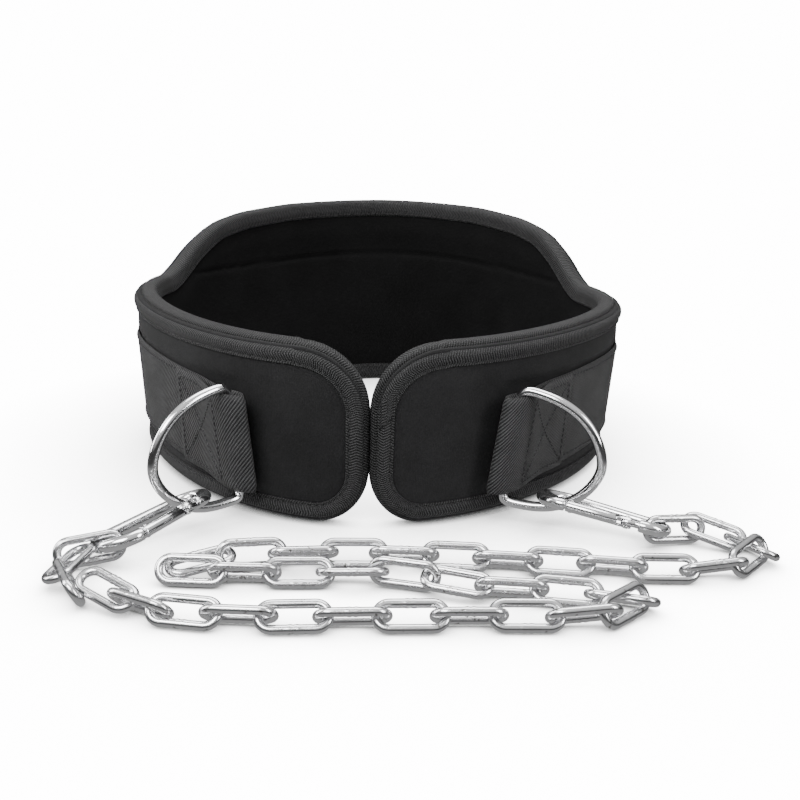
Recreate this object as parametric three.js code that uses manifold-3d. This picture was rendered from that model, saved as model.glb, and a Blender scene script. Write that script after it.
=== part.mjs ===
// Padded weightlifting belt standing on its lower edge, with its ends meeting at the front.
// A webbing strap runs round the outside and folds round the bar of a steel ring at each end.
// A spring hook hangs in each ring, and a chain of welded links lies in front from hook to hook.
// Millimetres, +Z up, front towards -Y.
import * as THREE from 'three';
import manifoldModule from 'manifold-3d';

const wasm = await manifoldModule();
wasm.setup();
const { Manifold, Mesh } = wasm;

const gap = 0.3;                      // left between pieces that touch
const soft_gap = 0.5;                 // left between the layers of the belt

// The belt, seen from above: half its width and half its depth, with a few waves on the plain oval.
const plan_half_width = 137.2;
const plan_half_depth = 134.3;
const plan_waves = [
  { wave: 1, across: 1, along: 1 },
  { wave: 2, across: 0.066, along: 0.030 },
  { wave: 3, across: 0.026, along: 0.120 },
];
const meeting_turn = 4;               // degrees round the plan, from the middle front to the belt's ends
const meeting_gap = 1.4;              // between the two ends

// Heights and layers. Offsets are measured outwards from the groove between the two layers.
const belt_height = 91.4;
const lumbar_height = 126.5;
const end_radius = 28;                // rounded corners of the front ends
const foot_inset = 6.8;               // the belt leans outwards: its foot lies this much further in
const outer_thickness = 4.0;
const inner_thickness = 6.2;
const lumbar_table = [                // distance from the middle of the back, as a share of lumbar_reach
  { away: 0.00, rise: 1.00 },
  { away: 0.40, rise: 0.985 },
  { away: 0.62, rise: 0.91 },
  { away: 0.75, rise: 0.78 },
  { away: 0.86, rise: 0.46 },
  { away: 0.94, rise: 0.13 },
  { away: 1.00, rise: 0.00 },
];
const lumbar_reach = 190;

// Binding tape round the edge of both layers.
const tape_thickness = 1.2;
const tape_width = 8.5;
const groove_depth = 0.8;

// Webbing strap.
const webbing_width = 50;
const webbing_thickness = 1.8;
const webbing_foot = 18;              // height of the strap's lower edge
const fold_foot = 15.2;               // and of the folds at its two ends
const fold_run = 48;                  // length of the leg that is folded back and sewn down
const lift_run = 34;                  // the strap leaves the belt over this length before the bar

// Rings: a straight bar in the fold and a bow that leans out of it.
const ring_wire = 5;
const ring_depth = 50;
const ring_height = 63;
const ring_corner = 3.2;
const ring_middle = 39.6;             // height of the middle of the bar
const ring_stand_off = 9.6;           // middle of the bar from the face of the belt
const ring_droop = 8;                 // degrees that the bow hangs below level
const ring_sides = 6;
const rings = [
  { name: 'left_ring', round: -63.6, heading: -133.6 },
  { name: 'right_ring', round: 68.2, heading: -15.3 },
];

// Spring hooks.
const hook_wire = 6;
const hook_length = 66;
const hook_wide = 32;                 // outside width at the nose end
const hook_narrow = 24;               // and at the hinge end
const hook_sides = 8;
const gate_wire = 5.6;
const gate_length = 29;               // from the hinge pin to the tip
const nose_run = 2;                   // straight end of the body that the gate meets
const nose_clearance = 0.4;
const ring_play = 3;                  // between a ring and the end of the hook that hangs in it
const tongue_thickness = 2.6;
const tongue_radius = 2.6;
const pin_radius = 1.1;
const pin_clearance = 0.3;
const hooks = [
  { name: 'left', ring: 0, along: 0.225, across: 0, heading: -122.2, drop: 7, lean: 18, nose_first: false },
  { name: 'right', ring: 1, along: 0.225, across: -1, heading: -17.5, drop: 7.5, lean: 15, nose_first: true },
];

// Chain: links of round wire, each rolled about 45 degrees on the floor.
const link_wire = 3.9;
const link_length = 32;
const link_width = 14.4;
const link_sides = 6;
const link_arc_steps = 5;
const link_roll = 45;

// Where the links lie, numbered from the left hook to the right one. Heading, tip and twist in degrees.
// The links between two rows are spread evenly, and every other link is rolled the other way.
const chain_links = 38;
const chain_route = [
  { link: 1, x: -104.9, y: -212.8, up: 2.3, heading: -158, tip: -6, twist: -29 },
  { link: 2, x: -109.2, y: -227.1, up: 1.7, heading: -100, tip: -6, twist: -27 },
  { link: 3, x: -103, y: -244.4, up: 1.3, heading: -58, tip: -3, twist: -15 },
  { link: 4, x: -85.1, y: -249.9, up: 1.6, heading: -28, tip: -9, twist: -18 },
  { link: 5, x: -69, y: -257.4, up: 0.2, heading: -24, tip: 0, twist: -2 },
  { link: 6, x: -50, y: -262.2, up: 0.2, heading: -4, tip: 0, twist: -1 },
  { link: 8, x: -6.5, y: -260.9, up: 0.2, heading: 8, tip: 1, twist: -1 },
  { link: 12, x: 85.3, y: -247.7, up: 0.2, heading: 7, tip: 0, twist: 1 },
  { link: 13, x: 108, y: -245.1, up: 1.1, heading: 9, tip: 5, twist: 2 },
  { link: 14, x: 125.1, y: -234.8, up: 1.2, heading: 49, tip: 1, twist: 18 },
  { link: 15, x: 125.2, y: -224.3, up: -0.8, heading: 170, tip: 0, twist: 74 },
  { link: 16, x: 102.6, y: -222.6, up: -0.1, heading: 180, tip: 2, twist: 96 },
  { link: 17, x: 79.5, y: -222.6, up: 0.4, heading: 180, tip: 0, twist: 95 },
  { link: 18, x: 56.5, y: -220.9, up: 0.7, heading: 171, tip: 3, twist: 111 },
  { link: 19, x: 33.9, y: -217.8, up: 1.7, heading: 173, tip: 1, twist: 133 },
  { link: 20, x: 11.5, y: -216.8, up: 0.6, heading: 184, tip: -2, twist: 159 },
  { link: 21, x: -11.3, y: -219.6, up: 0.2, heading: 188, tip: 0, twist: 178 },
  { link: 22, x: -34.1, y: -222.9, up: 0.5, heading: 187, tip: 1, twist: 185 },
  { link: 23, x: -56.5, y: -224.9, up: 0.8, heading: 183, tip: 0, twist: 169 },
  { link: 24, x: -55.1, y: -214.6, up: 0.4, heading: 33, tip: 5, twist: 145 },
  { link: 25, x: -34.5, y: -206.3, up: 1.5, heading: 15, tip: 0, twist: 120 },
  { link: 26, x: -12.4, y: -200.5, up: 0.9, heading: 14, tip: -1, twist: 99 },
  { link: 28, x: 32, y: -194, up: 0.2, heading: 3, tip: 0, twist: 93 },
  { link: 32, x: 124.1, y: -193.2, up: 0.2, heading: -2, tip: 0, twist: 89 },
  { link: 33, x: 147.2, y: -192.5, up: -0.2, heading: 6, tip: 0, twist: 86 },
  { link: 34, x: 169.1, y: -188.6, up: 0.4, heading: 13, tip: 5, twist: 99 },
  { link: 35, x: 186.8, y: -176.5, up: 1.4, heading: 53, tip: 4, twist: 103 },
  { link: 36, x: 191.3, y: -160.8, up: -0.7, heading: 120, tip: -4, twist: 161 },
  { link: 37, x: 175.8, y: -149.5, up: 1.4, heading: 159, tip: 11, twist: 192 },
  { link: 38, x: 157.1, y: -150.7, up: 1.9, heading: 197, tip: 2, twist: 230 },
];

// The hooks' far ends that the route was laid to, left and right. Where a hook stands elsewhere, its half of
// the chain goes along with it, less and less from link to link.
const route_ends = [
  { x: -98.61, y: -208.75, height: 8.98 },
  { x: 149.23, y: -154.62, height: 8.9 },
];

// Materials.
function material(color, roughness, metalness) {
  return new THREE.MeshStandardMaterial({ color, roughness, metalness });
}
const cloth = () => material(0x2c2c2e, 0.95, 0);
const lining = () => material(0x161617, 0.95, 0);
const tape = () => material(0x1d1d1f, 0.9, 0);
const webbing = () => material(0x222224, 0.9, 0);
const steel = () => material(0xc9cbce, 0.25, 1);

// General helpers.
const radians = THREE.MathUtils.degToRad;
const vec = (x, y, z) => new THREE.Vector3(x, y, z);

function tableValue(table, key, at, column) {
  let k = 0;
  while (k < table.length - 2 && at > table[k + 1][key]) k += 1;
  const from = table[k];
  const to = table[k + 1];
  const share = THREE.MathUtils.clamp((at - from[key]) / (to[key] - from[key]), 0, 1);
  return from[column] + (to[column] - from[column]) * share;
}

// Skins rows of points, with the same number of points in each. Open lofts get flat caps.
function loft(rows, closed) {
  const count = rows[0].length;
  const position = rows.flat().flatMap((p) => [p.x, p.y, p.z]);
  const index = [];
  const last = closed ? rows.length : rows.length - 1;
  for (let i = 0; i < last; i += 1) {
    const a = i * count;
    const b = ((i + 1) % rows.length) * count;
    for (let j = 0; j < count; j += 1) {
      const k = (j + 1) % count;
      index.push(a + j, a + k, b + k, a + j, b + k, b + j);
    }
  }
  if (!closed) {
    const first = capTriangles(rows[0]);
    const base = (rows.length - 1) * count;
    const end = capTriangles(rows[rows.length - 1]);
    first.forEach(([a, b, c]) => index.push(a, c, b));
    end.forEach(([a, b, c]) => index.push(base + a, base + b, base + c));
  }
  const geometry = new THREE.BufferGeometry();
  geometry.setAttribute('position', new THREE.Float32BufferAttribute(position, 3));
  geometry.setIndex(index);
  return facingOut(geometry);
}

// Triangles of a flat outline, wound the same way as the outline's own order.
function capTriangles(points) {
  const normal = vec(0, 0, 0);
  points.forEach((p, i) => normal.add(p.clone().cross(points[(i + 1) % points.length])));
  normal.normalize();
  const side = points[1].clone().sub(points[0]).normalize();
  const up = normal.clone().cross(side);
  const flat = points.map((p) => new THREE.Vector2(p.dot(side), p.dot(up)));
  return THREE.ShapeUtils.triangulateShape(flat, []);
}

// Turns a closed skin right side out.
function facingOut(geometry) {
  const p = geometry.getAttribute('position');
  const index = geometry.getIndex();
  const corner = (i) => new THREE.Vector3().fromBufferAttribute(p, index.getX(i));
  let volume = 0;
  for (let i = 0; i < index.count; i += 3) {
    volume += corner(i).dot(corner(i + 1).cross(corner(i + 2)));
  }
  if (volume < 0) {
    for (let i = 0; i < index.count; i += 3) {
      const swap = index.getX(i);
      index.setX(i, index.getX(i + 1));
      index.setX(i + 1, swap);
    }
  }
  return geometry;
}

// A round wire along a flat path. The normal is that of the path's plane.
function wire(path, normal, radius, sides, closed) {
  const rows = path.map((point, i) => {
    const before = closed ? path[(i - 1 + path.length) % path.length] : path[Math.max(i - 1, 0)];
    const after = closed ? path[(i + 1) % path.length] : path[Math.min(i + 1, path.length - 1)];
    const here = point.clone().sub(before).normalize();
    const next = after.clone().sub(point).normalize();
    if (here.lengthSq() === 0) here.copy(next);
    if (next.lengthSq() === 0) next.copy(here);
    const run = here.clone().add(next).normalize();
    const out = run.clone().cross(normal).normalize();
    const stretch = 1 / Math.max(run.dot(here), 0.6);
    return Array.from({ length: sides }, (_, k) => {
      const turn = (k + 0.5) / sides * 2 * Math.PI;
      return point.clone()
        .addScaledVector(out, Math.cos(turn) * radius * stretch)
        .addScaledVector(normal, Math.sin(turn) * radius);
    });
  });
  return loft(rows, closed);
}

// Solids for cutting and joining.
function toSolid(geometry) {
  const p = geometry.getAttribute('position');
  const mesh = new Mesh({
    numProp: 3,
    vertProperties: new Float32Array(p.array),
    triVerts: new Uint32Array(geometry.getIndex().array),
  });
  mesh.merge();
  return new Manifold(mesh);
}

function toGeometry(solid) {
  const mesh = solid.getMesh();
  const geometry = new THREE.BufferGeometry();
  geometry.setAttribute('position', new THREE.Float32BufferAttribute(mesh.vertProperties, 3));
  geometry.setIndex(Array.from(mesh.triVerts));
  return geometry;
}

// Belt plan: a table of places round it, by length from the meeting of the ends, right side first.
function planPoint(turn) {
  let x = 0;
  let y = 0;
  plan_waves.forEach(({ wave, across, along }) => {
    x += plan_half_width * across * Math.sin(wave * turn);
    y -= plan_half_depth * along * Math.cos(wave * turn);
  });
  return new THREE.Vector2(x, y);
}
const plan_steps = 1440;
const plan_table = [];
for (let i = 0, length = 0; i <= plan_steps; i += 1) {
  const turn = radians(meeting_turn) + i / plan_steps * 2 * Math.PI;
  const point = planPoint(turn);
  if (i > 0) length += point.distanceTo(plan_table[i - 1].point);
  plan_table.push({ turn, point, length });
}
const belt_length = plan_table[plan_steps].length;

// A place on the belt: length round it, offset outwards from the groove and height.
function beltPoint(round, offset, height) {
  const along = THREE.MathUtils.euclideanModulo(round, belt_length);
  const turn = tableValue(plan_table, 'length', along, 'turn');
  const point = planPoint(turn);
  const ahead = planPoint(turn + 0.002).sub(planPoint(turn - 0.002)).normalize();
  const inset = foot_inset * (1 - Math.min(height, belt_height) / belt_height);
  return vec(point.x + ahead.y * (offset - inset), point.y - ahead.x * (offset - inset), height);
}
function outwards(round) {
  return beltPoint(round, 1, 0).sub(beltPoint(round, 0, 0)).normalize();
}

// Height of the belt's upper edge, with the raised back.
function topHeight(round) {
  const away = Math.abs(round - belt_length / 2) / lumbar_reach;
  const rise = away > 1 ? 0 : tableValue(lumbar_table, 'away', away, 'rise');
  return belt_height + (lumbar_height - belt_height) * rise;
}

// Stations round the belt: close together at the round ends and at the shoulders.
function beltStations(first, radius) {
  const steps = 5;
  const corner = Array.from({ length: steps + 1 }, (_, i) => {
    return first + radius * (1 - Math.cos(i / steps * Math.PI / 2));
  });
  const edges = [first + radius];
  const start = belt_length / 2 - lumbar_reach;
  const shoulder = [...lumbar_table].reverse().map((row) => {
    return belt_length / 2 - row.away * lumbar_reach;
  });
  const sides = 7;
  for (let i = 1; i < sides; i += 1) {
    edges.push(first + radius + (start - first - radius) * i / sides);
  }
  const middle = shoulder.pop();
  const before = shoulder[shoulder.length - 1];
  shoulder.forEach((s) => edges.push(s));
  for (let i = 1; i < 4; i += 1) edges.push(before + (middle - before) * i / 4);
  const half = [...corner.slice(0, -1), ...edges];
  return [...half, middle, ...half.map((s) => belt_length - s).reverse()];
}

// Lower and upper edge at a station, with the round corners of the ends.
function edgeHeights(round, first, radius, trim) {
  const into = Math.min(round - first, belt_length - first - round);
  const reach = Math.max(radius - into, 0);
  const cut = radius - Math.sqrt(Math.max(radius * radius - reach * reach, 0));
  return { low: trim + cut, high: topHeight(round) - trim - cut };
}

// One padded layer between two offsets.
function layer(inside, outside) {
  const trim = tape_thickness + 3 * soft_gap;
  const first = meeting_gap / 2 + trim;
  const radius = end_radius - trim;
  const rows = beltStations(first, radius).map((round) => {
    const { low, high } = edgeHeights(round, first, radius, trim);
    const belt_line = Math.min(high, belt_height - trim);
    const heights = [low, (low + belt_line) / 2, belt_line === high ? high - 0.25 * (high - low) : belt_line, high];
    return [
      ...heights.map((z) => beltPoint(round, outside, z)),
      ...heights.reverse().map((z) => beltPoint(round, inside, z)),
    ];
  });
  return loft(rows, false);
}

// The binding: a channel that follows the whole edge, with a ridge on each layer and a groove between.
function binding() {
  const first = meeting_gap / 2;
  const path = [];
  const corner_steps = 5;
  const centre = (side, high) => ({
    round: side > 0 ? first + end_radius : belt_length - first - end_radius,
    z: high ? topHeight(first) - end_radius : end_radius,
  });
  const add = (round, z, inS, inZ) => path.push({ round, z, inS, inZ });
  const corner = (side, high, from) => {
    const c = centre(side, high);
    for (let i = 0; i <= corner_steps; i += 1) {
      const turn = radians(from + i / corner_steps * 90);
      const s = Math.cos(turn);
      const z = Math.sin(turn);
      add(c.round + s * end_radius, c.z + z * end_radius, -s, -z);
    }
  };
  const stations = beltStations(first, end_radius).filter((s) => {
    return s > first + end_radius + 1 && s < belt_length - first - end_radius - 1;
  });
  corner(1, true, 90);
  corner(1, false, 180);
  stations.forEach((s) => add(s, 0, 0, 1));
  corner(-1, false, 270);
  corner(-1, true, 0);
  [...stations].reverse().forEach((s) => {
    const slope = (topHeight(s + 1) - topHeight(s - 1)) / 2;
    const size = Math.hypot(1, slope);
    add(s, topHeight(s), slope / size, -1 / size);
  });
  const out_face = outer_thickness + soft_gap;
  const in_face = -inner_thickness - soft_gap;
  const out_skin = out_face + tape_thickness;
  const in_skin = in_face - tape_thickness;
  const wall = tape_thickness + soft_gap;
  const profile = [
    { deep: tape_width, offset: out_face },
    { deep: tape_width, offset: out_skin },
    { deep: 2, offset: out_skin },
    { deep: 0, offset: out_skin - 1.8 },
    { deep: 0, offset: 1.2 },
    { deep: groove_depth, offset: 0 },
    { deep: 0, offset: -1.2 },
    { deep: 0, offset: in_skin + 1.8 },
    { deep: 2, offset: in_skin },
    { deep: tape_width, offset: in_skin },
    { deep: tape_width, offset: in_face },
    { deep: wall, offset: in_face },
    { deep: wall, offset: out_face },
  ];
  const rows = path.map(({ round, z, inS, inZ }) => {
    return profile.map(({ deep, offset }) => {
      return beltPoint(round + inS * deep, offset, z + inZ * deep);
    });
  });
  return loft(rows, true);
}

// Rings. Each has its own frame: the bar along up, the bow towards ahead.
const ring_frames = rings.map((ring) => {
  const turn = radians(ring.heading);
  const droop = radians(ring_droop);
  const flat = vec(Math.cos(turn), Math.sin(turn), 0);
  return {
    ...ring,
    bar: beltPoint(ring.round, outer_thickness + ring_stand_off, ring_middle),
    ahead: flat.clone().multiplyScalar(Math.cos(droop)).add(vec(0, 0, -Math.sin(droop))),
    up: flat.clone().multiplyScalar(Math.sin(droop)).add(vec(0, 0, Math.cos(droop))),
  };
});

// Middle line of a ring in its own frame, as ahead and up, from the lower corner round the bow.
function bowPoint(share) {
  const turn = (share - 0.5) * Math.PI;
  const ahead = (ring_depth - ring_wire) * Math.abs(Math.cos(turn)) ** 0.72;
  const up = (ring_height - ring_wire) / 2 * Math.sign(turn) * Math.abs(Math.sin(turn)) ** 1.22;
  return { ahead, up };
}
function ringPlace(frame, { ahead, up }) {
  return frame.bar.clone().addScaledVector(frame.ahead, ahead).addScaledVector(frame.up, up);
}
function ringSolid(frame) {
  const line = [];
  const half = (ring_height - ring_wire) / 2;
  for (let i = 0; i <= 3; i += 1) {
    const turn = i / 3 * Math.PI / 2;
    line.push({
      ahead: ring_corner * (1 - Math.cos(Math.PI / 2 - turn)) * 1,
      up: half - ring_corner + ring_corner * Math.sin(Math.PI / 2 - turn),
    });
  }
  const lower = line.map(({ ahead, up }) => ({ ahead, up: -up })).reverse();
  const bow = [];
  const steps = 17;
  for (let i = 0; i <= steps; i += 1) {
    const point = bowPoint(i / steps);
    if (point.ahead > ring_corner * 1.25) bow.push(point);
  }
  const path = [...line, ...lower, ...bow].map((point) => ringPlace(frame, point));
  const normal = frame.ahead.clone().cross(frame.up).normalize();
  return wire(path, normal, ring_wire / 2, ring_sides, true);
}

// The strap: folded leg, bend round the left bar, round the belt, bend round the right bar, folded leg.
function strap() {
  const half = webbing_thickness / 2;
  const bend = ring_wire / 2 + soft_gap + half;
  const face = outer_thickness + gap + half;
  const rows = [];
  const ease = (u) => u * u * (3 - 2 * u);
  // Middle of the webbing at a height share, near one bar. Away is measured from the bar.
  const spot = (frame, side, away, layers, share) => {
    const up = (share - 0.5) * webbing_width;
    const bar = ringPlace(frame, { ahead: 0, up });
    const near = ease(THREE.MathUtils.clamp(1 - away / lift_run, 0, 1));
    const foot = webbing_foot + (fold_foot - webbing_foot) * ease(Math.max(1 - away / 90, 0));
    const round = frame.round + side * away;
    const height = foot + share * webbing_width;
    const lying = beltPoint(round, face + layers * (webbing_thickness + gap), height);
    const normal = outwards(frame.round);
    const travel = beltPoint(round, 0, height).sub(beltPoint(frame.round, 0, height));
    const raised = bar.clone().add(travel).addScaledVector(normal, (layers * 2 - 1) * bend);
    return { lying, raised, near, height };
  };
  const mix = ({ lying, raised, near, height }) => {
    const p = lying.clone().lerp(raised, near);
    p.z = height;
    return p;
  };
  const section = (low, high, low_side, high_side) => {
    rows.push([
      low.clone().addScaledVector(low_side, half),
      high.clone().addScaledVector(high_side, half),
      high.clone().addScaledVector(high_side, -half),
      low.clone().addScaledVector(low_side, -half),
    ]);
  };
  const leg = (frame, side, layers, aways) => aways.map((away) => {
    return [0, 1].map((share) => mix(spot(frame, side, away, layers, share)));
  });
  const bendRows = (frame, side) => {
    const normal = outwards(frame.round);
    const along = vec(-normal.y, normal.x, 0).multiplyScalar(-side);
    return Array.from({ length: 5 }, (_, i) => {
      const turn = radians((i + 0.5) / 5 * 180);
      return [0, 1].map((share) => {
        const bar = ringPlace(frame, { ahead: 0, up: (share - 0.5) * webbing_width });
        const p = bar.addScaledVector(normal, Math.cos(turn) * bend)
          .addScaledVector(along, Math.sin(turn) * bend);
        p.z = fold_foot + share * webbing_width;
        return p;
      });
    });
  };
  const legs = [fold_run, 36, 24, 16, 8, 0];
  const left = ring_frames[0];
  const right = ring_frames[1];
  const middle = beltStations(meeting_gap / 2, end_radius)
    .filter((s) => s > right.round + lift_run + 4 && s < belt_length + left.round - lift_run - 4)
    .map((s) => {
      const ends = Math.min(s - right.round, belt_length + left.round - s);
      const foot = webbing_foot + (fold_foot - webbing_foot) * ease(Math.max(1 - ends / 90, 0));
      return [0, 1].map((share) => beltPoint(s, face, foot + share * webbing_width));
    });
  const line = [
    ...leg(right, 1, 1, legs),
    ...bendRows(right, 1),
    ...leg(right, 1, 0, [0, 8, 16, 24, lift_run]),
    ...middle,
    ...leg(left, -1, 0, [lift_run, 24, 16, 8, 0]),
    ...bendRows(left, -1).reverse(),
    ...leg(left, -1, 1, [...legs].reverse()),
  ];
  line.forEach(([low, high], i) => {
    const before = line[Math.max(i - 1, 0)];
    const after = line[Math.min(i + 1, line.length - 1)];
    const across = [0, 1].map((k) => {
      const run = after[k].clone().sub(before[k]);
      return vec(run.y, -run.x, 0).normalize();
    });
    section(low, high, across[0], across[1]);
  });
  return loft(rows, false);
}

// Spring hooks, in their own frame: nose end at +x, gate at +y, flat along z.
const big = (hook_wide - hook_wire) / 2;
const small = (hook_narrow - hook_wire) / 2;
const span = hook_length - hook_wire - big - small;
const slope = Math.asin((big - small) / span);
const big_touch = new THREE.Vector2(span + big * Math.sin(slope), big * Math.cos(slope));
const small_touch = new THREE.Vector2(small * Math.sin(slope), small * Math.cos(slope));
const gate_run = big_touch.clone().sub(small_touch).normalize();
const nose = big_touch.clone().addScaledVector(gate_run, -nose_run);
const hinge = nose.clone().addScaledVector(gate_run, -gate_length - nose_clearance);
const seat_nose = span + big - hook_wire / 2;     // inside edge of the two round ends
const seat_hinge = -small + hook_wire / 2;

function hookBodyShape() {
  const path = [];
  const arc = (cx, radius, from, to, steps) => {
    for (let i = 0; i <= steps; i += 1) {
      const turn = radians(from + (to - from) * i / steps);
      path.push(vec(cx + Math.cos(turn) * radius, Math.sin(turn) * radius, 0));
    }
  };
  const tilt = THREE.MathUtils.radToDeg(slope);
  path.push(vec(nose.x, nose.y, 0));
  arc(span, big, 90 - tilt, -90 + tilt, 8);
  arc(0, small, -90 + tilt, -270 - tilt, 7);
  path.pop();
  const root = small_touch.clone().addScaledVector(gate_run, -0.4);
  path.push(vec(root.x, root.y, 0));
  const reach = root.distanceTo(hinge);
  const neck = root.clone().addScaledVector(gate_run, Math.max(reach - tongue_radius - 3.2, 1));
  path.push(vec(neck.x, neck.y, 0));
  const body = toSolid(wire(path, vec(0, 0, 1), hook_wire / 2, hook_sides, false));
  const outline = [];
  const normal = new THREE.Vector2(-gate_run.y, gate_run.x);
  const put = (along, across) => {
    outline.push(hinge.clone().addScaledVector(gate_run, along).addScaledVector(normal, across));
  };
  const back = neck.distanceTo(hinge) + 2;
  put(-back, tongue_radius);
  put(-back, -tongue_radius);
  for (let i = 0; i <= 6; i += 1) {
    const turn = radians(-90 + i / 6 * 180);
    put(Math.cos(turn) * tongue_radius, Math.sin(turn) * tongue_radius);
  }
  const plate = loft([-1, 1].map((side) => {
    return outline.map((p) => vec(p.x, p.y, side * tongue_thickness / 2));
  }), false);
  const bore = pinSolid(pin_radius + pin_clearance, hook_wire);
  return toGeometry(body.add(toSolid(plate)).subtract(bore));
}

function pinSolid(radius, length) {
  const pin = new THREE.CylinderGeometry(radius, radius, length, 10);
  pin.rotateX(Math.PI / 2);
  pin.translate(hinge.x, hinge.y, 0);
  return toSolid(pin);
}

function gateShape() {
  const angle = Math.atan2(gate_run.y, gate_run.x);
  const rod = new THREE.CylinderGeometry(gate_wire / 2, gate_wire / 2, gate_length + tongue_radius, 10);
  rod.rotateZ(-Math.PI / 2);
  rod.translate((gate_length - tongue_radius) / 2, 0, 0);
  const slot_back = tongue_radius + 1;
  const slot_run = slot_back + tongue_radius + 0.6;
  const slot = new THREE.BoxGeometry(slot_run, gate_wire + 1, tongue_thickness + 2 * gap);
  slot.translate(slot_run / 2 - slot_back, 0, 0);
  const place = (geometry) => geometry.rotateZ(angle).translate(hinge.x, hinge.y, 0);
  const shell = toSolid(place(rod)).subtract(toSolid(place(slot)));
  return toGeometry(shell.add(pinSolid(pin_radius, gate_wire - 0.6)));
}

// Places a hook so that the ring lies in one of its round ends.
const hook_frames = hooks.map((hook) => {
  const frame = ring_frames[hook.ring];
  const held = ringPlace(frame, bowPoint(hook.along));
  const turn = radians(hook.heading);
  const drop = radians(hook.drop);
  const away = vec(Math.cos(turn) * Math.cos(drop), Math.sin(turn) * Math.cos(drop), -Math.sin(drop));
  const level = vec(0, 0, 1).cross(away).normalize();
  const rise = away.clone().cross(level);
  const lean = radians(hook.lean);
  const towards = level.y > 0 ? level.clone().negate() : level.clone();
  const gate_side = towards.multiplyScalar(Math.cos(lean)).addScaledVector(rise, Math.sin(lean));
  const x = hook.nose_first ? away.clone().negate() : away.clone();
  const y = gate_side.clone();
  const z = x.clone().cross(y);
  // The ring's wire crosses the hook at a slant, so it lies some way inside the round end.
  const past = ringPlace(frame, bowPoint(hook.along + 0.01));
  const slant = Math.abs(past.sub(held).normalize().dot(z));
  const inside = (ring_wire / 2 + hook_wire / 2 + gap) / slant + ring_play;
  const ring_seat = hook.nose_first ? span + big - inside : inside - small;
  const link_seat = hook.nose_first ? seat_hinge : seat_nose;
  const origin = held.clone().addScaledVector(x, -ring_seat).addScaledVector(y, -hook.across);
  const matrix = new THREE.Matrix4().makeBasis(x, y, z).setPosition(origin);
  return { ...hook, matrix, link_place: vec(link_seat, 0, 0).applyMatrix4(matrix) };
});

// Chain: as many links as the route holds, each rolled about its own length.
const link_rest = (link_width - link_wire) / 2 * Math.sin(radians(link_roll)) + link_wire / 2;

function chainFrames() {
  const moves = hook_frames.map(({ link_place }, end) => {
    const { x, y, height } = route_ends[end];
    return link_place.clone().sub(vec(x, y, height));
  });
  return Array.from({ length: chain_links }, (_, i) => {
    const at = (column) => tableValue(chain_route, 'link', i + 1, column);
    const turn = radians(at('heading'));
    const tip = radians(at('tip'));
    const middle = vec(at('x'), at('y'), link_rest + at('up'));
    moves.forEach((move, end) => {
      const links_away = end === 0 ? i : chain_links - 1 - i;
      middle.addScaledVector(move, Math.max(0, 1 - links_away / (chain_links / 2)));
    });
    middle.z = Math.max(middle.z, link_rest + Math.min(at('up'), 0));
    return {
      middle,
      run: vec(Math.cos(turn) * Math.cos(tip), Math.sin(turn) * Math.cos(tip), Math.sin(tip)),
      roll: (i % 2 === 0 ? -1 : 1) * link_roll + at('twist'),
    };
  });
}

function linkShape({ middle, run, roll }) {
  const radius = (link_width - link_wire) / 2;
  const straight = (link_length - link_width) / 2;
  const level = vec(0, 0, 1).cross(run).normalize();
  const rise = run.clone().cross(level);
  const turn = radians(roll);
  const across = level.clone().multiplyScalar(Math.cos(turn)).addScaledVector(rise, Math.sin(turn));
  const normal = run.clone().cross(across);
  const path = [];
  [1, -1].forEach((end) => {
    for (let i = 0; i <= link_arc_steps; i += 1) {
      const angle = radians(-90 + i / link_arc_steps * 180);
      path.push(middle.clone()
        .addScaledVector(run, end * (straight + Math.cos(angle) * radius))
        .addScaledVector(across, end * Math.sin(angle) * radius));
    }
  });
  return wire(path, normal, link_wire / 2, link_sides, true);
}

// The whole object.
const object = new THREE.Group();
function add(name, geometry, surface) {
  const mesh = new THREE.Mesh(geometry, surface);
  mesh.name = name;
  object.add(mesh);
  return mesh;
}

add('outer_panel', layer(soft_gap / 2, outer_thickness), cloth());
add('inner_pad', layer(-inner_thickness, -soft_gap / 2), lining());
add('edge_binding', binding(), tape());
add('webbing_strap', strap(), webbing());
ring_frames.forEach((frame) => add(frame.name, ringSolid(frame), steel()));
hook_frames.forEach((hook) => {
  add(`${hook.name}_hook_body`, hookBodyShape().applyMatrix4(hook.matrix), steel());
  add(`${hook.name}_hook_gate`, gateShape().applyMatrix4(hook.matrix), steel());
});
chainFrames().forEach((frame, i) => {
  add(`link_${String(i + 1).padStart(2, '0')}`, linkShape(frame), steel());
});

// Stand the object on the origin: the middle of its box at X 0 and Y 0, its foot at Z 0.
const box = new THREE.Box3().setFromObject(object);
const centre = box.getCenter(vec(0, 0, 0));
object.children.forEach((mesh) => mesh.geometry.translate(-centre.x, -centre.y, -box.min.z));

export default object;
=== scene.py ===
# Looks of the padded belt: panels, binding, webbing, stitches, rings, hooks and chain, built round the frame.
# Lengths are in millimetres, in the part's own axes before its box is centred. Those in the materials,
# the camera and the lights are in metres.
import math

import bmesh
import bpy
import numpy as np
from mathutils import Matrix, Vector


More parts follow.
